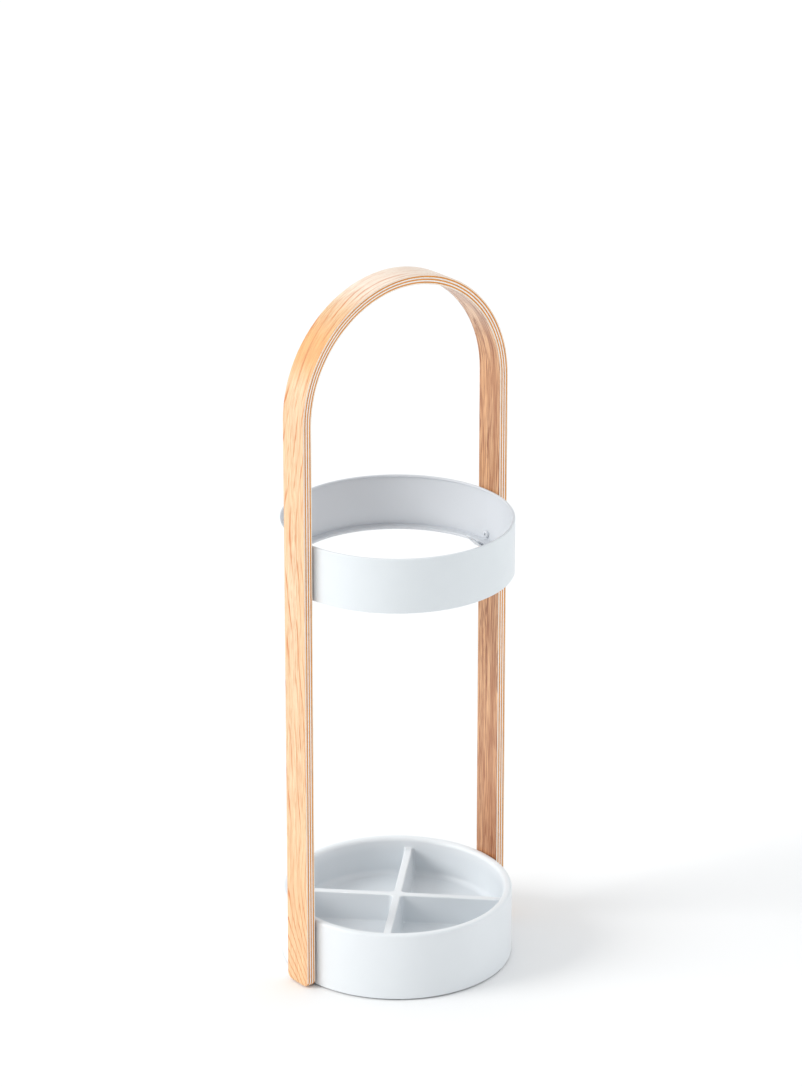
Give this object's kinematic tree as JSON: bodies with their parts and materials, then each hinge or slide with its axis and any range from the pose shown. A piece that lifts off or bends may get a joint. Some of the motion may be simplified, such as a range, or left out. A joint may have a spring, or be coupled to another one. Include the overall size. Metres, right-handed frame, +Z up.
{
  "type": "umbrella stand",
  "caption": "Free-standing round umbrella stand: a bent plywood arch carries a white steel ring with strap hooks over a divided white drip tray.",
  "frame": {"origin": "on the floor under the middle of the tray", "axes": "+Z up, +X from leg to leg across the arch, +Y across the width of the arch's strip"},
  "size_m": [0.252, 0.23, 0.715],
  "materials": {
    "face_veneer": "clear satin lacquer over open grain",
    "light_core": "long grain on the cut edge, clear lacquer",
    "brown_core": "end grain on the cut edge, clear lacquer",
    "white_steel": "satin powder coat",
    "white_plastic": "fine satin moulding texture",
    "grey_plastic": "matt moulding texture",
    "plated_steel": "bright zinc",
    "insert_brass": "turned",
    "ballast_iron": "as cast, dipped",
    "damping_rubber": "cellular",
    "foot_rubber": "matt"
  },
  "bodies": {
    "root": {"arch_inner_face_veneer": "face_veneer", "arch_core_veneer_1": "brown_core", "arch_core_veneer_2": "light_core", "arch_core_veneer_3": "brown_core", "arch_core_veneer_4": "light_core", "arch_core_veneer_5": "brown_core", "arch_outer_face_veneer": "face_veneer", "ring_band": "white_steel", "hook_left": "white_steel", "hook_right": "white_steel", "ring_screws": "white_steel", "ring_inserts": "insert_brass", "tray": "white_plastic", "tray_spacer_left": "grey_plastic", "tray_spacer_right": "grey_plastic", "tray_screws": "plated_steel", "tray_inserts": "insert_brass", "damping_pad": "damping_rubber", "ballast_plate": "ballast_iron", "ballast_screws": "plated_steel", "bottom_cover": "grey_plastic", "cover_screws": "plated_steel", "rubber_foot_left": "foot_rubber", "rubber_foot_right": "foot_rubber", "rubber_foot_front": "foot_rubber", "rubber_foot_back": "foot_rubber"}
  },
  "joints": []
}
